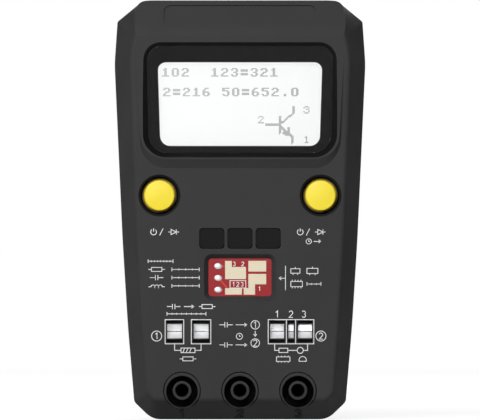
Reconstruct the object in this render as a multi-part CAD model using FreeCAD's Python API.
import FreeCAD, Part
import math
import os

V = FreeCAD.Vector

# The tester stands upright: X to the right, Y from the face to the back, Z up, in millimetres.

# Overall size
WIDTH = 82.6
HEIGHT = 138.0
DEPTH = 36.0

# Housing outline where the shells meet: inset from the side, height above the base, corner radius
RIM_LOWER = [(12.4, 0.0, 7.0), (6.45, 5.75, 2.5), (4.35, 31.0, 500.0), (2.62, 59.0, 600.0)]
# The same from the top: inset from the side, drop below the top, corner radius
RIM_UPPER = [(0.0, 21.0, 40.0), (0.95, 7.1, 1.5), (9.55, 0.0, 8.0)]
# Outline of the face, inside the sloped band
FACE_LOWER = [(12.8, 6.4, 2.5), (10.6, 9.0, 3.0), (9.0, 31.0, 500.0), (7.3, 60.0, 1400.0)]
FACE_UPPER = [(5.1, 18.5, 20.0), (6.7, 12.0, 15.0), (7.7, 0.4, 1.2)]

# Housing shells
WALL = 2.2
FRONT_SHELL_DEPTH = 14.9
SLOPE_DEPTH = 10.4
RIDGE_ROUND = 1.5
RIDGE_STEPS = 3
BEVEL_DROP = 10.6
BEVEL_ANGLE = 25.0
BEVEL_BLEND = 12.0
BEVEL_BITE = 0.05
REAR_TAPER_DEPTH = 8.0
REAR_BEVEL = 2.6
LIP_HEIGHT = 1.4
LIP_CLEARANCE = 0.12
SMALLEST_ROUND = 0.3

# Bare panel sunk in the bevel at the top of the face
PANEL_WIDTH = 50.2
PANEL_HEIGHT = 6.6
PANEL_DROP = 1.7
PANEL_SINK = 0.5
PANEL_ROUND = 2.4

# Display surround: raised lip below the lens that fades out upwards
PAD_RISE = 1.6
PAD_ROOT = 1.0
PAD_SLOPE = 3.0
PAD_FADE_DROP = 18.0
PAD_LAND = 0.5

# Display lens and its recess
LENS_WIDTH_TOP = 61.2
LENS_WIDTH_BOTTOM = 60.0
LENS_HEIGHT = 35.3
LENS_TOP_DROP = 15.1
LENS_ROUND_TOP = 4.6
LENS_ROUND_BOTTOM = 6.4
LENS_DROP = 1.0
LENS_THICKNESS = 1.2
LENS_CLEARANCE = 0.1
LENS_LEDGE = 1.4
LENS_LEDGE_MARGIN = 2.0
RECESS_SPREAD_TOP = 3.4
RECESS_SPREAD_BOTTOM = 1.8
RECESS_RISE_TOP = 3.1
RECESS_RISE_BOTTOM = 1.4
RECESS_ROUND_TOP = 7.0
RECESS_ROUND_BOTTOM = 8.0
WINDOW_MARGIN = 2.2

# Display module
LCD_WIDTH = 58.0
LCD_HEIGHT = 35.0
LCD_GLASS_THICKNESS = 2.2
LCD_GAP = 0.1
LCD_ROUND = 0.5
BACKLIGHT_MARGIN = 1.0
BACKLIGHT_FOOT = 2.0
BACKLIGHT_THICKNESS = 2.8
HOLDER_WALL = 1.2
HOLDER_FLOOR = 0.7
HOLDER_CLEARANCE = 0.2
LCD_PIN_COUNT = 12
LCD_PIN_PITCH = 2.54
LCD_PIN_SIZE = 0.5
LCD_PIN_TAIL = 1.2

# Main board
BOARD_THICKNESS = 1.6
BOARD_SOCKET_GAP = 1.0
BOARD_TOP_DROP = 18.5
BOARD_EDGE_GAP = 1.8
BOARD_ROUND = 1.5
BOARD_POST_GAP = 0.5
PIN_HOLE_CLEARANCE = 0.15

# Screws that hold the board in the front shell
BOARD_SCREW_SPOTS_LOWER = (28.3, 21.2)
BOARD_SCREW_INSET = 7.9
BOARD_SCREW_DROP = 22.0
BOARD_POST_RADIUS = 2.4
BOARD_SCREW_RADIUS = 1.0
BOARD_SCREW_LENGTH = 6.0
BOARD_SCREW_HEAD = 2.0

# Screws that close the housing
CASE_POST_BEARING = 31.3
CASE_POST_SOCKET_GAP = 0.36
CASE_SCREW_TOP_INSET = 7.2
CASE_SCREW_TOP_DROP = 13.5
CASE_POST_RADIUS = 3.2
CASE_SCREW_RADIUS = 1.3
CASE_SCREW_LENGTH = 14.0
CASE_SCREW_HEAD = 2.3
CASE_SCREW_SEAT = 4.0
SCREW_HEAD_HEIGHT = 1.8
SCREW_CLEARANCE = 0.06
HEAD_CLEARANCE = 0.25
HEAD_WALL = 1.0
SCREW_HEAD_ROUND = 0.7

# Round push buttons over square tactile switches
BUTTON_SPACING = 53.0
BUTTON_Z = 73.7
BUTTON_TRAVEL = 0.5
CAP_RADIUS = 5.0
CAP_FLANGE = 0.7
CAP_FLANGE_HEIGHT = 1.4
CAP_HEIGHT = 5.8
CAP_PROUD = 1.2
CAP_EDGE_ROUND = 0.7
CAP_WALL = 1.2
CAP_STEM_WALL = 1.1
BUTTON_HOLE_CLEARANCE = 0.5
BUTTON_HOLE_CHAMFER = 0.7
SWITCH_SIZE = 12.0
SWITCH_HEIGHT = 3.2
DOME_ROOM = 0.6
SWITCH_COVER = 0.3
SWITCH_TAB = 1.6
PLUNGER_RADIUS = 3.4
PLUNGER_SHOULDER = 0.8
PLUNGER_DEPTH = 0.9
PLUNGER_STEM = 3.8
PLUNGER_CLEARANCE = 0.3
STEM_INSERT = 2.4
STEM_CLEARANCE = 0.02

# Three blank tiles between the buttons
TILE_WIDTH = 8.3
TILE_HEIGHT = 6.85
TILE_PITCH = 9.25
TILE_Z = 59.6
TILE_ROUND = 1.2
TILE_SINK = 0.45
TILE_CLEARANCE = 0.1
TILE_COUNT = 3
STRIP_MARGIN = 0.9
STRIP_THICKNESS = 1.0

# Window with the board for surface-mount parts
WELL_WIDTH = 23.6
WELL_HEIGHT = 15.3
WELL_Z = 46.8
WELL_ROUND = 2.6
WELL_DRAFT = 1.45
SMD_MARGIN = 1.2
SMD_THICKNESS = 1.2
SMD_PIN_X = -7.2
SMD_PIN_PITCH = 3.95
SMD_PIN_RADIUS = 0.5
SMD_PIN_STAND = 0.2
SMD_PIN_TAIL = 0.8

# Spring-fork ports
PORT_Z = 29.0
PORT_HEIGHT = 7.2
PORT_ROUND = 0.3
PORT_1_CELLS = [(-21.55, 5.5), (-12.8, 5.5)]
PORT_2_CELLS = [(12.17, 5.2), (16.77, 2.4), (21.37, 5.2)]
FORK_SIDE_GAP = 0.3
FORK_THICKNESS = 0.4
FORK_BASE = 1.9
FORK_PINCH = 0.3
FORK_PINCH_DEPTH = 5.6
FORK_FLARE = 2.3
FORK_TIP_DEPTH = 8.0
FORK_HEEL_DEPTH = 1.6
FORK_BEND = 0.3
CARRIER_DEPTH = 5.2
CARRIER_MARGIN = 0.6
CARRIER_POCKET_GAP = 0.15

# Safety sockets for 4 mm plugs
SOCKET_PITCH = 19.05
SOCKET_Z = 9.6
SOCKET_COUNT = 3
SOCKET_RADIUS = 6.1
SOCKET_WALL = 0.9
SOCKET_WELL_DEPTH = 20.0
SOCKET_BACK = 2.5
SOCKET_RIM_ROUND = 0.4
SOCKET_CLEARANCE = 0.1
SLEEVE_WALL = 0.65
SLEEVE_DROP = 1.2
SLEEVE_MOUTH = 0.08
BARREL_BORE_RADIUS = 2.0
BARREL_WALL = 0.4
BARREL_DROP = 2.2
BARREL_LENGTH = 24.0
BARREL_END = 1.0
BARREL_CLEARANCE = 0.05
LUG_WIDTH = 3.0
LUG_THICKNESS = 0.5

# Battery, its compartment and its terminals
BATTERY_LENGTH = 46.0
BATTERY_WIDTH = 26.2
BATTERY_THICKNESS = 16.8
BATTERY_ROUND = 2.0
SNAP_HEIGHT = 2.6
SNAP_SPACING = 12.7
STUD_RADIUS = 2.8
CUP_RADIUS = 4.2
CUP_BORE_RADIUS = 3.0
COMPARTMENT_END_GAP = 0.4
COMPARTMENT_SIDE_GAP = 0.9
COMPARTMENT_WALL = 1.5
COMPARTMENT_ROUND = 1.0
BATTERY_GAP = 0.1
TERMINAL_PLATE = 1.6

# Battery door
DOOR_THICKNESS = 1.8
DOOR_MARGIN = 3.0
DOOR_FOOT_GAP = 1.25
DOOR_TOP_TAB = 8.4
DOOR_CLEARANCE = 0.25
DOOR_ROUND = 3.0
DOOR_RIB = 1.2
DOOR_RIB_HEIGHT = 2.2
DOOR_RIB_INSET = 0.5
DOOR_SCREW_LENGTH = 8.0
DOOR_SCREW_RADIUS = 1.4
DOOR_SCREW_HEAD = 2.6
DOOR_BOSS_HEIGHT = 1.2
DOOR_BOSS_WALL = 0.8
DOOR_GRIP_COUNT = 4
DOOR_GRIP_PITCH = 2.0
DOOR_GRIP_LENGTH = 16.0
DOOR_GRIP_WIDTH = 1.0
DOOR_GRIP_DEPTH = 0.6

# Tilt stand
STAND_WIDTH = 47.8
STAND_THICKNESS = 3.6
STAND_HINGE_DROP = 17.0
STAND_POCKET_DEPTH = 5.0
STAND_POCKET_GAP = 0.4
STAND_FOOT_GAP = 6.0
STAND_SIDE_GAP = 0.3
STAND_PIN_RADIUS = 1.3
STAND_PIN_CLEARANCE = 0.1
STAND_PIN_LENGTH = 1.9
STAND_FACE_SINK = 1.4
STAND_FACE_RIM = 3.0
STAND_ROUND = 3.0
NOTCH_WIDTH = 18.0
NOTCH_HEIGHT = 4.0

# Small parts on the back of the board: behind the display as X and drop below the top
CHIP_SPOT = (0.0, 37.0)
CRYSTAL_SPOT = (-13.0, 37.0)
# and lower down as X and rise above the battery door
REGULATOR_SPOT = (18.0, 12.0)
CAPACITOR_SPOT = (18.0, 22.0)
RESISTOR_SPOT = (-16.0, 0.0)
CHIP_RESISTOR_SPOT = (-6.0, 20.0)

# Planes through the depth of the tester
FACE_Y = -DEPTH / 2 + PAD_RISE
BACK_Y = DEPTH / 2
SHOULDER_Y = FACE_Y + SLOPE_DEPTH
PARTING_Y = FACE_Y + FRONT_SHELL_DEPTH
FACE_INNER_Y = FACE_Y + WALL
BACK_INNER_Y = BACK_Y - WALL
LENS_Y = FACE_Y + LENS_DROP
LENS_SEAT_Y = LENS_Y + LENS_THICKNESS
LEDGE_BACK_Y = LENS_SEAT_Y + LENS_LEDGE
LCD_Y = LEDGE_BACK_Y + LCD_GAP
BACKLIGHT_Y = LCD_Y + LCD_GLASS_THICKNESS
BACKLIGHT_BACK_Y = BACKLIGHT_Y + BACKLIGHT_THICKNESS
BOARD_Y = BACKLIGHT_BACK_Y + HOLDER_FLOOR
BOARD_BACK_Y = BOARD_Y + BOARD_THICKNESS
DOOR_INNER_Y = BACK_Y - DOOR_THICKNESS
COMPARTMENT_FLOOR_Y = DOOR_INNER_Y - BATTERY_THICKNESS - 2 * BATTERY_GAP
STAND_POCKET_Y = BACK_Y - STAND_POCKET_DEPTH
STAND_AXIS_Y = STAND_POCKET_Y + STAND_POCKET_GAP + STAND_THICKNESS / 2
LENS_TOP_Z = HEIGHT - LENS_TOP_DROP
LENS_BOTTOM_Z = LENS_TOP_Z - LENS_HEIGHT
STAND_AXIS_Z = HEIGHT - STAND_HINGE_DROP
BOARD_FOOT = SOCKET_Z + SOCKET_RADIUS + BOARD_SOCKET_GAP
HEAD_POST_RADIUS = CASE_SCREW_HEAD + HEAD_CLEARANCE + HEAD_WALL
CASE_POST_REACH = SOCKET_RADIUS + HEAD_POST_RADIUS + CASE_POST_SOCKET_GAP
CASE_SCREW_LOW_Z = SOCKET_Z + CASE_POST_REACH * math.sin(math.radians(CASE_POST_BEARING))
COMPARTMENT_WIDTH = BATTERY_LENGTH + 2 * SNAP_HEIGHT + TERMINAL_PLATE + COMPARTMENT_END_GAP
COMPARTMENT_HEIGHT = BATTERY_WIDTH + 2 * COMPARTMENT_SIDE_GAP
DOOR_BOTTOM_Z = CASE_SCREW_LOW_Z + CASE_SCREW_HEAD + HEAD_CLEARANCE + DOOR_FOOT_GAP
COMPARTMENT_Z = DOOR_BOTTOM_Z + DOOR_MARGIN + COMPARTMENT_HEIGHT / 2
DOOR_TOP_Z = COMPARTMENT_Z + COMPARTMENT_HEIGHT / 2 + DOOR_TOP_TAB
STAND_POCKET_FOOT_Z = DOOR_TOP_Z + STAND_FOOT_GAP
STAND_POCKET_TOP_Z = STAND_AXIS_Z + STAND_THICKNESS / 2 + STAND_POCKET_GAP
DOOR_SCREW_Z = DOOR_TOP_Z - DOOR_SCREW_HEAD - DOOR_RIB
DOOR_BOSS_RADIUS = DOOR_SCREW_HEAD + HEAD_CLEARANCE + DOOR_BOSS_WALL
OVERSHOOT = 1.0

# Radii and room that follow from the sizes above
CAP_FLANGE_RADIUS = CAP_RADIUS + CAP_FLANGE
SOCKET_WELL_RADIUS = SOCKET_RADIUS - SOCKET_WALL
BARREL_RADIUS = BARREL_BORE_RADIUS + BARREL_WALL
SLEEVE_BORE_RADIUS = BARREL_RADIUS + BARREL_CLEARANCE
SLEEVE_RADIUS = SLEEVE_BORE_RADIUS + SLEEVE_WALL
SLEEVE_MOUTH_RADIUS = BARREL_BORE_RADIUS + SLEEVE_MOUTH


# Outlines and simple solids


def mirrored(half):
    """Close the right-hand half of an outline, listed from its foot to its top, with its mirror image."""
    return half + [(-u, v, radius) for u, v, radius in reversed(half)]


def between(first, second, share):
    """Outline part of the way from the first to the second, corner by corner; over 1 goes past it."""
    return [tuple(a + (b - a) * share for a, b in zip(p, q)) for p, q in zip(first, second)]


def inset(corners, distance):
    """Move every side of a counter-clockwise outline inwards, keeping its rounds concentric."""
    count = len(corners)
    moved = []
    for i in range(count):
        u, v, radius = corners[i]
        last = corners[i - 1]
        following = corners[(i + 1) % count]
        along = V(u - last[0], v - last[1], 0).normalize()
        onward = V(following[0] - u, following[1] - v, 0).normalize()
        normals = V(-along.y - onward.y, along.x + onward.x, 0)
        step = distance / (1 + along.dot(onward))
        convex = along.cross(onward).z > 0
        rounded = radius - distance if convex else radius + distance
        moved.append((u + normals.x * step, v + normals.y * step, max(rounded, SMALLEST_ROUND)))
    return moved


def rounded_wire(corners, place):
    """Closed wire through (u, v, radius) corners, with a tangent arc at each rounded corner."""
    spots = [place(u, v) for u, v, radius in corners]
    count = len(corners)
    bends = []
    for i in range(count):
        back = (spots[i - 1] - spots[i]).normalize()
        onward = (spots[(i + 1) % count] - spots[i]).normalize()
        half_angle = back.getAngle(onward) / 2
        radius = corners[i][2]
        reach = radius / math.tan(half_angle)
        depth = radius / math.sin(half_angle) - radius
        middle = spots[i] + (back + onward).normalize() * depth
        bends.append((spots[i] + back * reach, middle, spots[i] + onward * reach))
    edges = []
    for i, (start, middle, end) in enumerate(bends):
        if corners[i][2] > 0:
            edges.append(Part.Arc(start, middle, end).toShape())
        edges.append(Part.LineSegment(end, bends[(i + 1) % count][0]).toShape())
    return Part.Wire(edges)


def face_on_wire(corners, y):
    """Wire of an outline seen from the front, at depth y."""
    return rounded_wire(corners, lambda x, z: V(x, y, z))


def prism(corners, y_front, y_back):
    """Outline seen from the front, carried from one depth to another."""
    return Part.Face(face_on_wire(corners, y_front)).extrude(V(0, y_back - y_front, 0))


def loft(corners_front, y_front, corners_back, y_back):
    """Ruled solid between two outlines seen from the front."""
    wires = [face_on_wire(corners_front, y_front), face_on_wire(corners_back, y_back)]
    return Part.makeLoft(wires, True, True)


def section_loft(sections):
    """Ruled solid through a list of (outline, depth) sections."""
    return Part.makeLoft([face_on_wire(corners, y) for corners, y in sections], True, True)


def ridge_sections(base, base_y, tip, tip_y):
    """Sections of a leaning band from its base to its tip, where it rounds over into a flat face."""
    run = abs(tip_y - base_y)
    outwards = (tip_y - base_y) / run
    lean = math.atan((base[2][0] - tip[2][0]) / run)
    turn = math.pi / 2 - lean
    reach = RIDGE_ROUND * math.tan(turn / 2)
    sections = [(base, base_y)]
    for step in range(RIDGE_STEPS, -1, -1):
        angle = turn * step / RIDGE_STEPS
        drop = RIDGE_ROUND * (1 - math.cos(angle))
        extra = reach - RIDGE_ROUND * math.sin(angle) + drop * math.tan(lean)
        outline = between(base, tip, 1 - drop / run)
        sections.append((inset(outline, max(extra, 0)), tip_y - outwards * drop))
    return sections


def slab(corners, x_left, x_right):
    """Profile seen from the side, as (y, z, radius) corners, carried along X."""
    wire = rounded_wire(corners, lambda y, z: V(x_left, y, z))
    return Part.Face(wire).extrude(V(x_right - x_left, 0, 0))


def rectangle(x, z, width, height, radius):
    """Rounded rectangle seen from the front, about its centre."""
    right = x + width / 2
    left = x - width / 2
    top = z + height / 2
    foot = z - height / 2
    return [(right, foot, radius), (right, top, radius), (left, top, radius), (left, foot, radius)]


def rod(x, z, y_front, y_back, radius):
    """Round bar along Y."""
    return Part.makeCylinder(radius, y_back - y_front, V(x, y_front, z), V(0, 1, 0))


def turned(x, z, profile):
    """Solid turned about an axis along Y; the profile lists (radius, y) points."""
    points = [V(radius, y, 0) for radius, y in profile]
    wire = Part.makePolygon(points + points[:1])
    solid = Part.Face(wire).revolve(V(0, 0, 0), V(0, 1, 0), 360)
    return solid.translated(V(x, 0, z))


def upright_edges(shape):
    """Straight edges along Y."""
    return [e for e in shape.Edges if len(e.Vertexes) == 2 and abs(e.tangentAt(e.FirstParameter).y) > 0.999]


# Housing outlines


def housing_outline(lower, upper):
    """Full outline from corners given by their inset from the side and their height or drop."""
    half = WIDTH / 2
    right = [(half - side, height, radius) for side, height, radius in lower]
    right += [(half - side, HEIGHT - drop, radius) for side, drop, radius in upper]
    return mirrored(right)


RIM = housing_outline(RIM_LOWER, RIM_UPPER)
FACE = housing_outline(FACE_LOWER, FACE_UPPER)


def trapezium(width_bottom, width_top, bottom, top, round_bottom, round_top):
    """Centred outline with level top and bottom and slightly leaning sides."""
    return mirrored([(width_bottom / 2, bottom, round_bottom), (width_top / 2, top, round_top)])


def lens_outline():
    """Visible outline of the display lens."""
    return trapezium(LENS_WIDTH_BOTTOM, LENS_WIDTH_TOP, LENS_BOTTOM_Z, LENS_TOP_Z,
                     LENS_ROUND_BOTTOM, LENS_ROUND_TOP)


def recess_outline():
    """Mouth of the lens recess at the foremost plane of the tester."""
    return trapezium(LENS_WIDTH_BOTTOM + 2 * RECESS_SPREAD_BOTTOM, LENS_WIDTH_TOP + 2 * RECESS_SPREAD_TOP,
                     LENS_BOTTOM_Z - RECESS_RISE_BOTTOM, LENS_TOP_Z + RECESS_RISE_TOP,
                     RECESS_ROUND_BOTTOM, RECESS_ROUND_TOP)


def case_screw_spots():
    """X and Z of the four screws that close the housing; the lower two stand beside the outer sockets."""
    low = socket_centres()[-1][0] + CASE_POST_REACH * math.cos(math.radians(CASE_POST_BEARING))
    top = WIDTH / 2 - CASE_SCREW_TOP_INSET
    spots = []
    for side in (-1, 1):
        spots.append((side * low, CASE_SCREW_LOW_Z))
        spots.append((side * top, HEIGHT - CASE_SCREW_TOP_DROP))
    return spots


def board_screw_spots():
    """X and Z of the four screws that hold the main board."""
    x_low, z_low = BOARD_SCREW_SPOTS_LOWER
    x_top = WIDTH / 2 - BOARD_SCREW_INSET
    spots = []
    for side in (-1, 1):
        spots.append((side * x_low, z_low))
        spots.append((side * x_top, HEIGHT - BOARD_SCREW_DROP))
    return spots


# Front shell


def profile_block(shift):
    """Side profile of the front shell: flat face, blended into the bevel at the top."""
    bevel_z = HEIGHT - BEVEL_DROP
    run = BEVEL_DROP + 2 * OVERSHOOT
    bevel_end_y = FACE_Y + run * math.tan(math.radians(BEVEL_ANGLE))
    top_z = bevel_z + run
    corners = [
        (FACE_Y + shift, -OVERSHOOT, 0),
        (PARTING_Y, -OVERSHOOT, 0),
        (PARTING_Y, top_z, 0),
        (bevel_end_y + shift, top_z, 0),
        (FACE_Y + shift, bevel_z, BEVEL_BLEND),
    ]
    return slab(corners, -WIDTH, WIDTH)


def display_pad():
    """Raised surround of the lens: proud at its lower lip, fading into the face upwards."""
    front = inset(recess_outline(), -PAD_LAND)
    share = (PAD_RISE + PAD_ROOT) / PAD_RISE
    lip_z = front[0][1]
    fade_z = HEIGHT - PAD_FADE_DROP
    slope = PAD_RISE / (fade_z - lip_z)
    base = [(u, v - PAD_SLOPE * share if v < fade_z else v, radius) for u, v, radius in front]
    block = loft(front, -DEPTH / 2, base, FACE_Y + PAD_ROOT)
    low_z = lip_z - 2 * PAD_SLOPE * share
    high_z = LENS_TOP_Z + RECESS_RISE_TOP + OVERSHOOT
    wedge = slab([
        (-DEPTH / 2 + slope * (low_z - lip_z), low_z, 0),
        (FACE_Y + PAD_ROOT, low_z, 0),
        (FACE_Y + PAD_ROOT, high_z, 0),
        (-DEPTH / 2 + slope * (high_z - lip_z), high_z, 0),
    ], -WIDTH, WIDTH)
    return block.common(wedge)


def front_outside():
    """Outer form of the front shell: straight rim, leaning band, rounded ridge, bevelled top."""
    sections = [(RIM, PARTING_Y)] + ridge_sections(RIM, SHOULDER_Y, FACE, FACE_Y)
    return section_loft(sections).common(profile_block(-BEVEL_BITE))


def front_cavity():
    """Hollow of the front shell."""
    share = (SLOPE_DEPTH - WALL) / SLOPE_DEPTH
    mouth = inset(RIM, WALL)
    end = inset(between(RIM, FACE, share), WALL)
    hollow = section_loft([(mouth, PARTING_Y), (mouth, SHOULDER_Y), (end, FACE_INNER_Y)])
    return hollow.common(profile_block(WALL - BEVEL_BITE))


def sunk_panel():
    """Cutter for the bare panel in the top bevel, square to the bevel."""
    half = PANEL_WIDTH / 2
    foot_z = -PANEL_HEIGHT
    corners = mirrored([(half, foot_z, SMALLEST_ROUND), (half, 0, PANEL_ROUND)])
    block = prism(corners, -OVERSHOOT, PANEL_SINK)
    block.rotate(V(0, 0, 0), V(1, 0, 0), -BEVEL_ANGLE)
    top_z = HEIGHT - PANEL_DROP
    top_y = FACE_Y + (top_z - HEIGHT + BEVEL_DROP) * math.tan(math.radians(BEVEL_ANGLE))
    return block.translated(V(0, top_y, top_z))


def lens_recess():
    """Drafted recess for the lens, its pocket and the window behind it."""
    lens = lens_outline()
    depth = LENS_Y + DEPTH / 2
    mouth = between(lens, recess_outline(), (depth + OVERSHOOT) / depth)
    funnel = loft(mouth, -DEPTH / 2 - OVERSHOOT, lens, LENS_Y)
    pocket = prism(inset(lens, -LENS_CLEARANCE), LENS_Y - LENS_CLEARANCE, LENS_SEAT_Y)
    window = prism(inset(lens, WINDOW_MARGIN), LENS_Y, LEDGE_BACK_Y + OVERSHOOT)
    return funnel.fuse([pocket, window])


def button_centres():
    return [(-BUTTON_SPACING / 2, BUTTON_Z), (BUTTON_SPACING / 2, BUTTON_Z)]


def tile_centres():
    middle = (TILE_COUNT - 1) / 2
    return [((i - middle) * TILE_PITCH, TILE_Z) for i in range(TILE_COUNT)]


def socket_centres():
    middle = (SOCKET_COUNT - 1) / 2
    return [((i - middle) * SOCKET_PITCH, SOCKET_Z) for i in range(SOCKET_COUNT)]


def face_openings():
    """Everything that is cut through the face: buttons, tiles, board window, ports and sockets."""
    cuts = []
    hole = CAP_FLANGE_RADIUS + BUTTON_HOLE_CLEARANCE
    wide = hole + BUTTON_HOLE_CHAMFER
    for x, z in button_centres():
        cuts.append(rod(x, z, FACE_Y - OVERSHOOT, FACE_INNER_Y + OVERSHOOT, hole))
        cuts.append(Part.makeCone(wide, hole, BUTTON_HOLE_CHAMFER, V(x, FACE_Y, z), V(0, 1, 0)))
    for x, z in tile_centres():
        tile = rectangle(x, z, TILE_WIDTH, TILE_HEIGHT, TILE_ROUND)
        cuts.append(prism(tile, FACE_Y - OVERSHOOT, FACE_INNER_Y + OVERSHOOT))
    mouth = rectangle(0, WELL_Z, WELL_WIDTH, WELL_HEIGHT, WELL_ROUND)
    cuts.append(loft(mouth, FACE_Y, inset(mouth, WELL_DRAFT), FACE_INNER_Y))
    for x, width in PORT_1_CELLS + PORT_2_CELLS:
        cell = rectangle(x, PORT_Z, width, PORT_HEIGHT, PORT_ROUND)
        cuts.append(prism(cell, FACE_Y - OVERSHOOT, FACE_INNER_Y + OVERSHOOT))
    for x, z in socket_centres():
        cuts.append(rod(x, z, FACE_Y - OVERSHOOT, PARTING_Y, SOCKET_RADIUS + SOCKET_CLEARANCE))
    return cuts


def rim_ring(outer, inner, y_front, y_back):
    """Ring that follows the rim of the housing between two insets."""
    return prism(inset(RIM, outer), y_front, y_back).cut(prism(inset(RIM, inner), y_front, y_back))


def front_case():
    """Front shell with its screw posts, lens ledge, openings and the groove for the rear lip."""
    outside = front_outside().fuse(display_pad())
    shell = outside.cut(front_cavity())
    inside = [prism(inset(lens_outline(), -LENS_LEDGE_MARGIN), LENS_Y, LEDGE_BACK_Y)]
    for x, z in case_screw_spots():
        inside.append(rod(x, z, FACE_INNER_Y - WALL / 2, PARTING_Y, CASE_POST_RADIUS))
    for x, z in board_screw_spots():
        inside.append(rod(x, z, FACE_INNER_Y - WALL / 2, BOARD_Y, BOARD_POST_RADIUS))
    shell = shell.fuse([piece.common(outside) for piece in inside])
    cuts = [lens_recess(), sunk_panel()] + face_openings()
    groove = WALL / 2
    cuts.append(rim_ring(groove, WALL, PARTING_Y - LIP_HEIGHT - LIP_CLEARANCE, PARTING_Y))
    reach = CASE_SCREW_SEAT - CASE_SCREW_LENGTH - OVERSHOOT
    for x, z in case_screw_spots():
        cuts.append(rod(x, z, reach, PARTING_Y, CASE_SCREW_RADIUS + SCREW_CLEARANCE))
    pilot = BOARD_BACK_Y - BOARD_SCREW_LENGTH - SCREW_CLEARANCE
    for x, z in board_screw_spots():
        cuts.append(rod(x, z, pilot, BOARD_Y, BOARD_SCREW_RADIUS + SCREW_CLEARANCE))
    return shell.cut(cuts).removeSplitter()


# Rear shell


def rear_outside():
    """Outer form of the rear shell: straight walls, then a bevel that rounds over into the back."""
    taper_y = BACK_Y - REAR_TAPER_DEPTH
    bevel = ridge_sections(RIM, taper_y, inset(RIM, REAR_BEVEL), BACK_Y)
    return section_loft([(RIM, PARTING_Y)] + bevel)


def rear_cavity():
    """Hollow of the rear shell, before the posts and the compartment are left standing in it."""
    taper_y = BACK_Y - REAR_TAPER_DEPTH
    waist = inset(RIM, WALL)
    share = (REAR_TAPER_DEPTH - WALL) / REAR_TAPER_DEPTH
    end = between(waist, inset(RIM, REAR_BEVEL + WALL), share)
    return section_loft([(waist, PARTING_Y), (waist, taper_y), (end, BACK_INNER_Y)])


def compartment(grow):
    """Battery space seen from the back, grown by a wall."""
    return rectangle(0, COMPARTMENT_Z, COMPARTMENT_WIDTH + 2 * grow, COMPARTMENT_HEIGHT + 2 * grow,
                     COMPARTMENT_ROUND + grow)


def stand_pocket(grow):
    """Pocket of the tilt stand seen from the back, grown by a wall."""
    half = STAND_WIDTH / 2 + STAND_SIDE_GAP + grow
    return mirrored([(half, STAND_POCKET_FOOT_Z - grow, STAND_ROUND + grow),
                     (half, STAND_POCKET_TOP_Z + grow, SMALLEST_ROUND)])


def door_outline(grow):
    """Battery door seen from the back, grown by a clearance."""
    middle = (DOOR_TOP_Z + DOOR_BOTTOM_Z) / 2
    width = COMPARTMENT_WIDTH + 2 * DOOR_MARGIN
    height = DOOR_TOP_Z - DOOR_BOTTOM_Z
    return rectangle(0, middle, width + 2 * grow, height + 2 * grow, DOOR_ROUND + grow)


def stand_pin(clearance, length):
    """Hinge pin of the stand on each side, with room round it for the bearing hole."""
    reach = STAND_WIDTH + 2 * length
    start = V(-reach / 2, STAND_AXIS_Y, STAND_AXIS_Z)
    return Part.makeCylinder(STAND_PIN_RADIUS + clearance, reach, start, V(1, 0, 0))


def thumb_notch():
    """Hollow below the foot of the stand, for a fingertip."""
    corners = rectangle(0, STAND_POCKET_FOOT_Z, NOTCH_WIDTH, 2 * NOTCH_HEIGHT, NOTCH_HEIGHT - SMALLEST_ROUND)
    return prism(corners, STAND_POCKET_Y, BACK_Y + OVERSHOOT)


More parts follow.
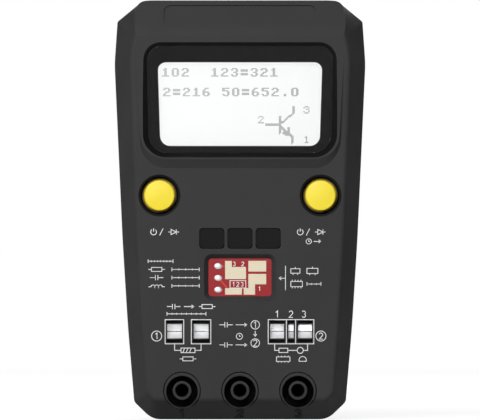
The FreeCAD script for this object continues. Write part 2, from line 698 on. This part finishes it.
def rear_case():
    """Rear shell with lip, screw posts, battery compartment and the pocket of the stand."""
    outside = rear_outside()
    floor_y = COMPARTMENT_FLOOR_Y - COMPARTMENT_WALL
    posts = [rod(x, z, PARTING_Y, BACK_Y, HEAD_POST_RADIUS) for x, z in case_screw_spots()]
    screw_end_y = door_screw_seat_y() - DOOR_SCREW_LENGTH - OVERSHOOT
    door_post = rod(0, DOOR_SCREW_Z, screw_end_y - WALL / 2, BACK_Y, CASE_POST_RADIUS)
    frame = prism(door_outline(WALL / 2), DOOR_INNER_Y - DOOR_RIB_HEIGHT - WALL / 2, BACK_Y)
    pocket_wall = prism(stand_pocket(WALL), STAND_POCKET_Y - WALL, BACK_Y)
    notch_wall = prism(rectangle(0, STAND_POCKET_FOOT_Z, NOTCH_WIDTH + 2 * WALL, 2 * NOTCH_HEIGHT + 2 * WALL,
                                 NOTCH_HEIGHT), STAND_POCKET_Y - WALL, BACK_Y)
    hollow = rear_cavity().cut([prism(compartment(COMPARTMENT_WALL), floor_y, BACK_Y), pocket_wall,
                                notch_wall, door_post, frame] + posts)
    shell = outside.cut(hollow)
    lip = rim_ring(WALL / 2 + LIP_CLEARANCE, WALL, PARTING_Y - LIP_HEIGHT, PARTING_Y + WALL)
    box = prism(compartment(COMPARTMENT_WALL), floor_y, PARTING_Y + WALL)
    shell = shell.fuse([lip, box])
    cuts = [prism(compartment(0), COMPARTMENT_FLOOR_Y, BACK_Y + OVERSHOOT)]
    cuts.append(prism(door_outline(DOOR_CLEARANCE), DOOR_INNER_Y, BACK_Y + OVERSHOOT))
    cuts.append(prism(stand_pocket(0), STAND_POCKET_Y, BACK_Y + OVERSHOOT))
    cuts.append(stand_pin(STAND_PIN_CLEARANCE, STAND_PIN_LENGTH + STAND_SIDE_GAP))
    cuts.append(thumb_notch())
    cuts.append(rod(0, DOOR_SCREW_Z, screw_end_y, BACK_Y, DOOR_SCREW_RADIUS + SCREW_CLEARANCE))
    boss_seat_y = door_screw_seat_y() - DOOR_BOSS_HEIGHT - SCREW_CLEARANCE
    cuts.append(rod(0, DOOR_SCREW_Z, boss_seat_y, BACK_Y, DOOR_BOSS_RADIUS + DOOR_CLEARANCE))
    for x, z in case_screw_spots():
        cuts.append(rod(x, z, PARTING_Y - OVERSHOOT, BACK_Y, CASE_SCREW_RADIUS + SCREW_CLEARANCE))
        cuts.append(rod(x, z, CASE_SCREW_SEAT, BACK_Y + OVERSHOOT, CASE_SCREW_HEAD + HEAD_CLEARANCE))
    return shell.cut(cuts).removeSplitter()


# Screws


def screw(x, z, seat_y, length, radius, head_radius):
    """Round-head screw driven from the back; its tip points to the face."""
    head_y = seat_y + SCREW_HEAD_HEIGHT
    return turned(x, z, [
        (0, head_y),
        (head_radius - SCREW_HEAD_ROUND, head_y),
        (head_radius, head_y - SCREW_HEAD_ROUND),
        (head_radius, seat_y),
        (radius, seat_y),
        (radius, seat_y - length + radius),
        (0, seat_y - length),
    ])


def case_screws():
    return Part.makeCompound([screw(x, z, CASE_SCREW_SEAT, CASE_SCREW_LENGTH, CASE_SCREW_RADIUS,
                                    CASE_SCREW_HEAD) for x, z in case_screw_spots()])


def board_screws():
    return Part.makeCompound([screw(x, z, BOARD_BACK_Y, BOARD_SCREW_LENGTH, BOARD_SCREW_RADIUS,
                                    BOARD_SCREW_HEAD) for x, z in board_screw_spots()])


# Battery door and tilt stand


def battery_door():
    """Door plate with a locating rib round its inside and grip lines on its outside."""
    plate = prism(door_outline(0), DOOR_INNER_Y, BACK_Y)
    outer = inset(compartment(0), DOOR_RIB_INSET)
    rib = prism(outer, DOOR_INNER_Y - DOOR_RIB_HEIGHT, DOOR_INNER_Y + SMALLEST_ROUND)
    rib = rib.cut(prism(inset(outer, DOOR_RIB), DOOR_INNER_Y - DOOR_RIB_HEIGHT, DOOR_INNER_Y))
    battery_room = prism(battery_outline(BATTERY_GAP), DOOR_INNER_Y - DOOR_RIB_HEIGHT, DOOR_INNER_Y)
    boss_y = door_screw_seat_y() - DOOR_BOSS_HEIGHT
    boss = rod(0, DOOR_SCREW_Z, boss_y, DOOR_INNER_Y + SMALLEST_ROUND, DOOR_BOSS_RADIUS)
    door = plate.fuse([rib.cut(battery_room), boss])
    cuts = [rod(0, DOOR_SCREW_Z, boss_y, BACK_Y, DOOR_SCREW_RADIUS + SCREW_CLEARANCE)]
    head_hole = DOOR_SCREW_HEAD + HEAD_CLEARANCE
    cuts.append(rod(0, DOOR_SCREW_Z, door_screw_seat_y(), BACK_Y + OVERSHOOT, head_hole))
    for i in range(DOOR_GRIP_COUNT):
        z = DOOR_BOTTOM_Z + DOOR_MARGIN + i * DOOR_GRIP_PITCH
        groove = rectangle(0, z, DOOR_GRIP_LENGTH, DOOR_GRIP_WIDTH, SMALLEST_ROUND)
        cuts.append(prism(groove, BACK_Y - DOOR_GRIP_DEPTH, BACK_Y + OVERSHOOT))
    return door.cut(cuts)


def door_screw_seat_y():
    """Depth of the door screw's seat, which leaves its head level with the back."""
    return BACK_Y - SCREW_HEAD_HEIGHT


def battery_door_screw():
    return screw(0, DOOR_SCREW_Z, door_screw_seat_y(), DOOR_SCREW_LENGTH, DOOR_SCREW_RADIUS, DOOR_SCREW_HEAD)


def tilt_stand():
    """Stand plate with a rounded hinge end, hinge pins and a sunk panel in its outer face."""
    front_y = STAND_POCKET_Y + STAND_POCKET_GAP
    back_y = front_y + STAND_THICKNESS
    foot_z = STAND_POCKET_FOOT_Z + STAND_POCKET_GAP
    hinge_round = STAND_THICKNESS / 2
    top_z = STAND_AXIS_Z + hinge_round
    tip = hinge_round - STAND_PIN_CLEARANCE / 3
    profile = [
        (front_y, foot_z, SMALLEST_ROUND),
        (back_y, foot_z, SMALLEST_ROUND),
        (back_y, top_z, tip),
        (front_y, top_z, tip),
    ]
    plate = slab(profile, -STAND_WIDTH / 2, STAND_WIDTH / 2)
    foot_shape = rectangle(0, (foot_z + top_z) / 2, STAND_WIDTH, top_z - foot_z, STAND_ROUND)
    foot_shape[1] = (STAND_WIDTH / 2, top_z, 0)
    foot_shape[2] = (-STAND_WIDTH / 2, top_z, 0)
    plate = plate.common(prism(foot_shape, front_y - OVERSHOOT, back_y + OVERSHOOT))
    panel_top = STAND_AXIS_Z - 2 * hinge_round
    panel_foot = foot_z + 4 * STAND_FACE_RIM
    panel = rectangle(0, (panel_top + panel_foot) / 2, STAND_WIDTH - 2 * STAND_FACE_RIM,
                      panel_top - panel_foot, STAND_ROUND)
    sunk = loft(inset(panel, STAND_FACE_SINK / 2), back_y - STAND_FACE_SINK, panel, back_y)
    return plate.fuse(stand_pin(0, STAND_PIN_LENGTH)).cut(sunk)


# Display module


def display_lens():
    """Clear plate that lies on the ledge of the recess, inside the pocket's rim."""
    return prism(inset(lens_outline(), LENS_CLEARANCE / 2), LENS_Y, LENS_SEAT_Y)


def lcd_centre_z():
    return (LENS_TOP_Z + LENS_BOTTOM_Z) / 2


def lcd_glass():
    """Two panes of the display cell, the rear one lower for the contact edge."""
    half = LCD_GLASS_THICKNESS / 2
    rear = rectangle(0, lcd_centre_z(), LCD_WIDTH, LCD_HEIGHT, LCD_ROUND)
    step = BACKLIGHT_FOOT / 2
    front = rectangle(0, lcd_centre_z() + step / 2, LCD_WIDTH, LCD_HEIGHT - step, LCD_ROUND)
    panes = [prism(front, LCD_Y, LCD_Y + half), prism(rear, LCD_Y + half, BACKLIGHT_Y)]
    return panes[0].fuse(panes[1])


def backlight_outline():
    height = LCD_HEIGHT - BACKLIGHT_MARGIN - BACKLIGHT_FOOT
    z = lcd_centre_z() + (BACKLIGHT_FOOT - BACKLIGHT_MARGIN) / 2
    return rectangle(0, z, LCD_WIDTH - 2 * BACKLIGHT_MARGIN, height, LCD_ROUND)


def lcd_backlight():
    return prism(backlight_outline(), BACKLIGHT_Y, BACKLIGHT_BACK_Y)


def lcd_holder():
    """Frame on the board that carries the backlight and keeps the cell square to the lens."""
    opening = rectangle(0, lcd_centre_z(), LCD_WIDTH + 2 * HOLDER_CLEARANCE,
                        LCD_HEIGHT + 2 * HOLDER_CLEARANCE, LCD_ROUND)
    frame = prism(inset(opening, -HOLDER_WALL), LCD_Y, BOARD_Y)
    frame = frame.cut(prism(opening, LCD_Y, BACKLIGHT_BACK_Y))
    slot = LCD_PIN_COUNT * LCD_PIN_PITCH
    slot_z = lcd_pin_z()
    return frame.cut(prism(rectangle(0, slot_z, slot, 2 * LCD_PIN_SIZE, LCD_PIN_SIZE / 2),
                           BACKLIGHT_BACK_Y, BOARD_Y))


def lcd_pin_z():
    return lcd_centre_z() - LCD_HEIGHT / 2 + BACKLIGHT_FOOT / 2


def lcd_pin_spots():
    middle = (LCD_PIN_COUNT - 1) / 2
    return [((i - middle) * LCD_PIN_PITCH, lcd_pin_z()) for i in range(LCD_PIN_COUNT)]


def lcd_pins():
    """Row of square pins from the contact edge of the cell through the board."""
    end_y = BOARD_BACK_Y + LCD_PIN_TAIL
    half = LCD_PIN_SIZE / 2
    pins = [Part.makeBox(LCD_PIN_SIZE, end_y - BACKLIGHT_Y, LCD_PIN_SIZE, V(x - half, BACKLIGHT_Y, z - half))
            for x, z in lcd_pin_spots()]
    return Part.makeCompound(pins)


# Main board and what stands on it


def main_board():
    """Board that follows the leaning sides of the housing, drilled for screws and pins."""
    rim = inset(RIM, WALL + BOARD_EDGE_GAP)
    top_z = HEIGHT - BOARD_TOP_DROP
    strip = rectangle(0, (BOARD_FOOT + top_z) / 2, WIDTH, top_z - BOARD_FOOT, 0)
    board = prism(rim, BOARD_Y, BOARD_BACK_Y).common(prism(strip, BOARD_Y, BOARD_BACK_Y))
    ends = [e for e in upright_edges(board)
            if e.Vertexes[0].Z < BOARD_FOOT + OVERSHOOT or e.Vertexes[0].Z > top_z - OVERSHOOT]
    board = board.makeFillet(BOARD_ROUND, ends)
    holes = []
    for x, z in board_screw_spots():
        holes.append(rod(x, z, BOARD_Y, BOARD_BACK_Y, BOARD_SCREW_RADIUS + PIN_HOLE_CLEARANCE))
    slot = rectangle(0, lcd_pin_z(), LCD_PIN_COUNT * LCD_PIN_PITCH, LCD_PIN_SIZE + 2 * PIN_HOLE_CLEARANCE,
                     PIN_HOLE_CLEARANCE)
    holes.append(prism(slot, BOARD_Y, BOARD_BACK_Y))
    for x, z in smd_pin_spots():
        holes.append(rod(x, z, BOARD_Y, BOARD_BACK_Y, SMD_PIN_RADIUS + PIN_HOLE_CLEARANCE))
    for x, z in case_screw_spots():
        holes.append(rod(x, z, BOARD_Y, BOARD_BACK_Y, CASE_POST_RADIUS + BOARD_POST_GAP))
    return board.cut(holes)


def smd_pin_spots():
    return [(SMD_PIN_X, WELL_Z + i * SMD_PIN_PITCH) for i in (-1, 0, 1)]


def smd_board():
    """Small board behind the window in the face."""
    window = inset(rectangle(0, WELL_Z, WELL_WIDTH, WELL_HEIGHT, WELL_ROUND), WELL_DRAFT)
    back_y = FACE_INNER_Y + SMD_THICKNESS
    plate = prism(inset(window, -SMD_MARGIN), FACE_INNER_Y, back_y)
    hole = SMD_PIN_RADIUS + PIN_HOLE_CLEARANCE
    return plate.cut([rod(x, z, FACE_INNER_Y, back_y, hole) for x, z in smd_pin_spots()])


def smd_board_pins():
    end_y = BOARD_BACK_Y + SMD_PIN_TAIL
    return Part.makeCompound([rod(x, z, FACE_INNER_Y - SMD_PIN_STAND, end_y, SMD_PIN_RADIUS)
                              for x, z in smd_pin_spots()])


def key_blank_strip():
    """Strip behind the face with three blank tiles that fill their openings."""
    width = (TILE_COUNT - 1) * TILE_PITCH + TILE_WIDTH + 2 * STRIP_MARGIN
    height = TILE_HEIGHT + 2 * STRIP_MARGIN
    back_y = FACE_INNER_Y + STRIP_THICKNESS
    strip = prism(rectangle(0, TILE_Z, width, height, TILE_ROUND), FACE_INNER_Y, back_y)
    tiles = []
    for x, z in tile_centres():
        tile = inset(rectangle(x, z, TILE_WIDTH, TILE_HEIGHT, TILE_ROUND), TILE_CLEARANCE)
        tiles.append(prism(tile, FACE_Y + TILE_SINK, back_y))
    return strip.fuse(tiles).removeSplitter()


# Buttons


def cap_top_y():
    return FACE_Y - CAP_PROUD


def stem_front_y():
    return cap_top_y() + CAP_HEIGHT - STEM_INSERT - CAP_FLANGE_HEIGHT


def button_cap(x, z):
    """Hollow round cap with a flange and a square socket for the switch stem."""
    top_y = cap_top_y()
    back_y = top_y + CAP_HEIGHT
    flange_y = back_y - CAP_FLANGE_HEIGHT
    profile = [
        (0, top_y),
        (CAP_RADIUS - CAP_EDGE_ROUND, top_y),
        (CAP_RADIUS, top_y + CAP_EDGE_ROUND),
        (CAP_RADIUS, flange_y),
        (CAP_FLANGE_RADIUS, flange_y),
        (CAP_FLANGE_RADIUS, back_y),
        (CAP_RADIUS - CAP_WALL, back_y),
        (CAP_RADIUS - CAP_WALL, top_y + CAP_WALL),
        (0, top_y + CAP_WALL),
    ]
    shell = turned(x, z, profile)
    socket = PLUNGER_STEM + 2 * STEM_CLEARANCE
    post = prism(rectangle(x, z, socket + 2 * CAP_STEM_WALL, socket + 2 * CAP_STEM_WALL, SMALLEST_ROUND),
                 top_y + CAP_WALL / 2, back_y)
    hole = prism(rectangle(x, z, socket, socket, SMALLEST_ROUND), stem_front_y(), back_y)
    bore = rod(x, z, top_y, back_y, CAP_RADIUS - CAP_WALL / 2)
    return shell.fuse(post.common(bore)).cut(hole).removeSplitter()


def switch_front_y():
    return BOARD_Y - SWITCH_HEIGHT


def switch_body(x, z):
    """Square base of a tactile switch, hollow under its plunger."""
    front_y = switch_front_y()
    base = prism(rectangle(x, z, SWITCH_SIZE, SWITCH_SIZE, SMALLEST_ROUND), front_y, BOARD_Y)
    depth = PLUNGER_DEPTH + BUTTON_TRAVEL + DOME_ROOM
    hollow = rod(x, z, front_y, front_y + depth, PLUNGER_RADIUS + PLUNGER_CLEARANCE)
    return base.cut(hollow)


def switch_cover(x, z):
    """Sheet cover of the switch with a round hole and two folded tabs."""
    front_y = switch_front_y()
    sheet = prism(rectangle(x, z, SWITCH_SIZE, SWITCH_SIZE, SMALLEST_ROUND), front_y - SWITCH_COVER, front_y)
    tabs = []
    for side in (-1, 1):
        centre_x = x + side * (SWITCH_SIZE / 2 + SWITCH_COVER / 2)
        tab = rectangle(centre_x, z, SWITCH_COVER, SWITCH_SIZE / 2, 0)
        tabs.append(prism(tab, front_y - SWITCH_COVER, front_y + SWITCH_TAB))
    hole = rod(x, z, front_y - SWITCH_COVER, front_y, PLUNGER_RADIUS + PLUNGER_CLEARANCE)
    return sheet.fuse(tabs).cut(hole).removeSplitter()


def switch_plunger(x, z):
    """Round plunger with the square stem that carries the cap."""
    front_y = switch_front_y() - SWITCH_COVER
    base = rod(x, z, front_y - PLUNGER_SHOULDER, front_y + PLUNGER_DEPTH, PLUNGER_RADIUS)
    stem = prism(rectangle(x, z, PLUNGER_STEM, PLUNGER_STEM, SMALLEST_ROUND), stem_front_y(), front_y)
    return base.fuse(stem).removeSplitter()


# Spring-fork ports


def fork_profile():
    """Side profile of a fork bent from one strip: base on the board, two leaves that pinch and flare."""
    heel = BOARD_Y - FORK_THICKNESS / 2
    upper = [
        (BOARD_Y - FORK_TIP_DEPTH, FORK_FLARE),
        (BOARD_Y - FORK_PINCH_DEPTH, FORK_PINCH),
        (BOARD_Y - FORK_HEEL_DEPTH, FORK_BASE),
        (heel, FORK_BASE),
    ]
    centre = upper + [(y, -z) for y, z in reversed(upper)]
    half = FORK_THICKNESS / 2
    sides = {1: [], -1: []}
    for i, (y, z) in enumerate(centre):
        first = centre[max(i - 1, 0)]
        last = centre[min(i + 1, len(centre) - 1)]
        along = V(y - first[0], z - first[1], 0) if i > 0 else V(last[0] - y, last[1] - z, 0)
        onward = V(last[0] - y, last[1] - z, 0) if i < len(centre) - 1 else along
        along.normalize()
        onward.normalize()
        step = half / (1 + along.dot(onward))
        for side in sides:
            offset = V(-along.y - onward.y, along.x + onward.x, 0) * step * side
            bend = FORK_BEND if 0 < i < len(centre) - 1 else 0
            sides[side].append((y + offset.x, z + offset.y + PORT_Z, bend / 2))
    return sides[1] + sides[-1][::-1]


def fork(x, cell_width):
    half = cell_width / 2 - FORK_SIDE_GAP
    return slab(fork_profile(), x - half, x + half)


def port_carrier(cells):
    """Insulating block on the board with a through pocket for each fork."""
    left = cells[0][0] - cells[0][1] / 2 - CARRIER_MARGIN
    right = cells[-1][0] + cells[-1][1] / 2 + CARRIER_MARGIN
    pocket_height = 2 * FORK_BASE + FORK_THICKNESS + 2 * CARRIER_POCKET_GAP
    height = pocket_height + 2 * CARRIER_MARGIN
    front_y = BOARD_Y - CARRIER_DEPTH
    outline = rectangle((left + right) / 2, PORT_Z, right - left, height, SMALLEST_ROUND)
    block = prism(outline, front_y, BOARD_Y)
    pockets = []
    for x, width in cells:
        room = width - 2 * FORK_SIDE_GAP + 2 * CARRIER_POCKET_GAP
        pockets.append(prism(rectangle(x, PORT_Z, room, pocket_height, 0), front_y, BOARD_Y))
    return block.cut(pockets)


# Sockets


def barrel_front_y():
    return FACE_Y + BARREL_DROP


def socket_shell(x, z):
    """Insulating shell: outer tube, annular well and the sleeve whose lip covers the metal barrel's end."""
    well_y = FACE_Y + SOCKET_WELL_DEPTH
    back_y = well_y + SOCKET_BACK
    profile = [
        (SOCKET_WELL_RADIUS + SOCKET_RIM_ROUND, FACE_Y),
        (SOCKET_RADIUS - SOCKET_RIM_ROUND / 2, FACE_Y),
        (SOCKET_RADIUS, FACE_Y + SOCKET_RIM_ROUND / 2),
        (SOCKET_RADIUS, back_y),
        (SLEEVE_BORE_RADIUS, back_y),
        (SLEEVE_BORE_RADIUS, barrel_front_y()),
        (SLEEVE_MOUTH_RADIUS, barrel_front_y()),
        (SLEEVE_MOUTH_RADIUS, FACE_Y + SLEEVE_DROP),
        (SLEEVE_RADIUS, FACE_Y + SLEEVE_DROP),
        (SLEEVE_RADIUS, well_y),
        (SOCKET_WELL_RADIUS, well_y),
        (SOCKET_WELL_RADIUS, FACE_Y + SOCKET_RIM_ROUND),
    ]
    return turned(x, z, profile)


def socket_barrel(x, z):
    """Metal tube with a 4 mm bore, closed at its far end."""
    front_y = barrel_front_y()
    end_y = front_y + BARREL_LENGTH
    profile = [
        (BARREL_BORE_RADIUS, front_y),
        (BARREL_RADIUS, front_y),
        (BARREL_RADIUS, end_y),
        (0, end_y),
        (0, end_y - BARREL_END),
        (BARREL_BORE_RADIUS, end_y - BARREL_END),
    ]
    return turned(x, z, profile)


def socket_lugs():
    """Strips that rise from the barrels behind their shells and run forward to the board."""
    shell_back_y = FACE_Y + SOCKET_WELL_DEPTH + SOCKET_BACK
    strips = []
    low = SOCKET_Z + SOCKET_RADIUS + (BOARD_FOOT - SOCKET_Z - SOCKET_RADIUS) / 2
    for x, z in socket_centres():
        upright = Part.makeBox(LUG_WIDTH, LUG_THICKNESS, low + LUG_THICKNESS - z,
                               V(x - LUG_WIDTH / 2, shell_back_y, z))
        collar = rod(x, z, shell_back_y, shell_back_y + LUG_THICKNESS, BARREL_RADIUS + LUG_THICKNESS)
        arm = Part.makeBox(LUG_WIDTH, shell_back_y + LUG_THICKNESS - BOARD_BACK_Y, LUG_THICKNESS,
                           V(x - LUG_WIDTH / 2, BOARD_BACK_Y, low))
        foot = Part.makeBox(LUG_WIDTH, LUG_THICKNESS, BOARD_FOOT - low + LUG_WIDTH / 2,
                            V(x - LUG_WIDTH / 2, BOARD_BACK_Y, low))
        hole = rod(x, z, shell_back_y, shell_back_y + LUG_THICKNESS, SLEEVE_BORE_RADIUS)
        strips.append(upright.fuse([collar, arm, foot]).cut(hole).removeSplitter())
    return Part.makeCompound(strips)


# Battery


def battery_left_x():
    return -COMPARTMENT_WIDTH / 2 + BATTERY_GAP


def battery_right_x():
    return battery_left_x() + BATTERY_LENGTH


def battery_centre_y():
    return COMPARTMENT_FLOOR_Y + BATTERY_GAP + BATTERY_THICKNESS / 2


def battery_outline(grow):
    centre_x = battery_left_x() + BATTERY_LENGTH / 2
    length = BATTERY_LENGTH + 2 * grow
    width = BATTERY_WIDTH + 2 * grow
    return rectangle(centre_x, COMPARTMENT_Z, length, width, SMALLEST_ROUND)


def snap_bar(x_left, x_right, z, radius):
    """Round bar along X at the height of a battery snap."""
    return Part.makeCylinder(radius, x_right - x_left, V(x_left, battery_centre_y(), z), V(1, 0, 0))


def battery():
    """Block battery with its stud and cup terminals on the right-hand end."""
    front_y = COMPARTMENT_FLOOR_Y + BATTERY_GAP
    block = Part.makeBox(BATTERY_LENGTH, BATTERY_THICKNESS, BATTERY_WIDTH,
                         V(battery_left_x(), front_y, COMPARTMENT_Z - BATTERY_WIDTH / 2))
    long_edges = [e for e in block.Edges if abs(e.tangentAt(e.FirstParameter).x) > 0.999]
    block = block.makeFillet(BATTERY_ROUND, long_edges)
    end_x = battery_right_x()
    stud = snap_bar(end_x, end_x + SNAP_HEIGHT, COMPARTMENT_Z + SNAP_SPACING / 2, STUD_RADIUS)
    cup_z = COMPARTMENT_Z - SNAP_SPACING / 2
    cup = snap_bar(end_x, end_x + SNAP_HEIGHT, cup_z, CUP_RADIUS)
    cup = cup.cut(snap_bar(end_x, end_x + SNAP_HEIGHT, cup_z, CUP_BORE_RADIUS))
    return block.fuse([stud, cup])


def terminal_plate_x():
    return battery_right_x() + 2 * SNAP_HEIGHT


def battery_terminal_plate():
    """Upright plate in the compartment that carries the mating snaps."""
    x = terminal_plate_x()
    height = COMPARTMENT_HEIGHT - 2 * COMPARTMENT_ROUND
    front_y = COMPARTMENT_FLOOR_Y
    return Part.makeBox(TERMINAL_PLATE, BATTERY_THICKNESS - DOOR_RIB_HEIGHT, height,
                        V(x, front_y, COMPARTMENT_Z - height / 2))


def battery_contacts():
    """Mating snaps: a cup over the stud and a stud inside the cup, on short necks."""
    x = terminal_plate_x()
    near = battery_right_x() + BATTERY_GAP
    stud_z = COMPARTMENT_Z + SNAP_SPACING / 2
    cup_z = COMPARTMENT_Z - SNAP_SPACING / 2
    cup = snap_bar(near, x, stud_z, CUP_RADIUS)
    cup = cup.cut(snap_bar(near, battery_right_x() + SNAP_HEIGHT + BATTERY_GAP, stud_z, CUP_BORE_RADIUS))
    stud = snap_bar(near, x, cup_z, STUD_RADIUS)
    return Part.makeCompound([cup, stud])


# Small parts on the back of the board


def lead(x, z, width, length, height):
    """Flat lead on the back of the board, about its centre."""
    return Part.makeBox(width, height, length, V(x - width / 2, BOARD_BACK_Y, z - length / 2))


def microcontroller():
    """Flat square package with gull-wing leads on four sides."""
    x = CHIP_SPOT[0]
    z = HEIGHT - CHIP_SPOT[1]
    size = 7.0
    height = 1.2
    lead_count = 8
    lead_pitch = 0.8
    lead_width = 0.36
    lead_reach = 1.0
    stand_off = 0.1
    body = prism(rectangle(x, z, size, size, SMALLEST_ROUND), BOARD_BACK_Y + stand_off,
                 BOARD_BACK_Y + stand_off + height)
    leads = []
    for i in range(lead_count):
        along = (i - (lead_count - 1) / 2) * lead_pitch
        for side in (-1, 1):
            away = side * (size + lead_reach) / 2
            leads.append(lead(x + along, z + away, lead_width, lead_reach, height / 2))
            leads.append(lead(x + away, z + along, lead_reach, lead_width, height / 2))
    return body.fuse(leads)


def crystal():
    """Low can with rounded ends on a flanged base."""
    x = CRYSTAL_SPOT[0]
    z = HEIGHT - CRYSTAL_SPOT[1]
    width = 4.6
    length = 11.0
    height = 3.4
    flange = 0.4
    end_round = 2.25
    foot = rectangle(x, z, width, length, end_round)
    base = prism(foot, BOARD_BACK_Y, BOARD_BACK_Y + flange)
    can = prism(inset(foot, flange), BOARD_BACK_Y + flange / 2, BOARD_BACK_Y + height)
    return base.fuse(can)


def voltage_regulator():
    """Small power package with a tab and three leads."""
    x = REGULATOR_SPOT[0]
    z = DOOR_TOP_Z + REGULATOR_SPOT[1]
    width = 6.5
    depth = 3.5
    height = 1.6
    tab = 3.0
    lead_width = 0.7
    lead_pitch = 2.3
    reach = 1.75
    body = prism(rectangle(x, z, width, depth, SMALLEST_ROUND), BOARD_BACK_Y, BOARD_BACK_Y + height)
    away = (depth + reach) / 2
    metal = [lead(x, z + away, tab, reach, lead_width / 2)]
    for i in (-1, 0, 1):
        metal.append(lead(x + i * lead_pitch, z - away, lead_width, reach, lead_width / 2))
    return body.fuse(metal)


def electrolytic_capacitor():
    """Round can with a crimped groove, on a square base."""
    x = CAPACITOR_SPOT[0]
    z = DOOR_TOP_Z + CAPACITOR_SPOT[1]
    radius = 3.15
    base_size = 6.6
    base_height = 0.8
    height = 7.7
    groove_rise = 0.9
    groove = 0.25
    can_y = BOARD_BACK_Y + base_height
    groove_y = can_y + groove_rise
    base = prism(rectangle(x, z, base_size, base_size, SMALLEST_ROUND), BOARD_BACK_Y, can_y)
    can = turned(x, z, [
        (0, can_y),
        (radius, can_y),
        (radius, groove_y),
        (radius - groove, groove_y + groove),
        (radius, groove_y + 2 * groove),
        (radius, BOARD_BACK_Y + height - groove),
        (radius - groove, BOARD_BACK_Y + height),
        (0, BOARD_BACK_Y + height),
    ])
    return base.fuse(can)


def discharge_resistor():
    """Leaded resistor laid along the board, with bent legs."""
    x = RESISTOR_SPOT[0]
    z = DOOR_TOP_Z + RESISTOR_SPOT[1]
    radius = 2.2
    length = 11.0
    span = 16.0
    wire = 0.4
    waist = 0.4
    axis_y = BOARD_BACK_Y + radius + wire
    points = [
        (0, -length / 2), (radius, -length / 2), (radius, -length / 4), (radius - waist, -length / 5),
        (radius - waist, length / 5), (radius, length / 4), (radius, length / 2), (0, length / 2),
    ]
    outline = [V(along, r, 0) for r, along in points]
    body = Part.Face(Part.makePolygon(outline + outline[:1])).revolve(V(0, 0, 0), V(1, 0, 0), 360)
    body = body.translated(V(x, axis_y, z))
    legs = [Part.makeCylinder(wire, span, V(x - span / 2, axis_y, z), V(1, 0, 0))]
    for side in (-1, 1):
        foot_x = x + side * span / 2
        legs.append(rod(foot_x, z, BOARD_BACK_Y, axis_y + wire, wire))
    return body.fuse(legs)


def chip_resistors():
    """Row of small chip resistors."""
    x = CHIP_RESISTOR_SPOT[0]
    z = DOOR_TOP_Z + CHIP_RESISTOR_SPOT[1]
    count = 6
    pitch = 3.0
    width = 1.6
    length = 3.2
    height = 0.6
    return Part.makeCompound([lead(x + i * pitch, z, width, length, height) for i in range(count)])


def nodes():
    """Every piece of the tester by name."""
    pieces = {
        "front_case": front_case(),
        "rear_case": rear_case(),
        "case_screws": case_screws(),
        "battery_door": battery_door(),
        "battery_door_screw": battery_door_screw(),
        "tilt_stand": tilt_stand(),
        "display_lens": display_lens(),
        "lcd_glass": lcd_glass(),
        "lcd_backlight": lcd_backlight(),
        "lcd_holder": lcd_holder(),
        "lcd_pins": lcd_pins(),
        "main_board": main_board(),
        "board_screws": board_screws(),
        "smd_board": smd_board(),
        "smd_board_pins": smd_board_pins(),
        "key_blank_strip": key_blank_strip(),
        "port_1_carrier": port_carrier(PORT_1_CELLS),
        "port_2_carrier": port_carrier(PORT_2_CELLS),
        "socket_lugs": socket_lugs(),
        "battery": battery(),
        "battery_terminal_plate": battery_terminal_plate(),
        "battery_contacts": battery_contacts(),
        "microcontroller": microcontroller(),
        "crystal": crystal(),
        "voltage_regulator": voltage_regulator(),
        "electrolytic_capacitor": electrolytic_capacitor(),
        "discharge_resistor": discharge_resistor(),
        "chip_resistors": chip_resistors(),
    }
    for side, (x, z) in zip(("left", "right"), button_centres()):
        pieces[side + "_button_cap"] = button_cap(x, z)
        pieces[side + "_switch_body"] = switch_body(x, z)
        pieces[side + "_switch_cover"] = switch_cover(x, z)
        pieces[side + "_switch_plunger"] = switch_plunger(x, z)
    for side, cell in zip(("left", "right"), PORT_1_CELLS):
        pieces["port_1_contact_" + side] = fork(*cell)
    for number, cell in enumerate(PORT_2_CELLS, 1):
        pieces["port_2_contact_" + str(number)] = fork(*cell)
    for number, (x, z) in enumerate(socket_centres(), 1):
        pieces["socket_shell_" + str(number)] = socket_shell(x, z)
        pieces["socket_barrel_" + str(number)] = socket_barrel(x, z)
    return pieces


def main():
    os.makedirs("parts", exist_ok=True)
    for name, shape in nodes().items():
        shape.exportStep("parts/" + name + ".step")
        print(name, len(shape.Solids), "solid(s),", round(shape.Volume), "cubic mm, valid:", shape.isValid())


if __name__ == "__main__":
    main()
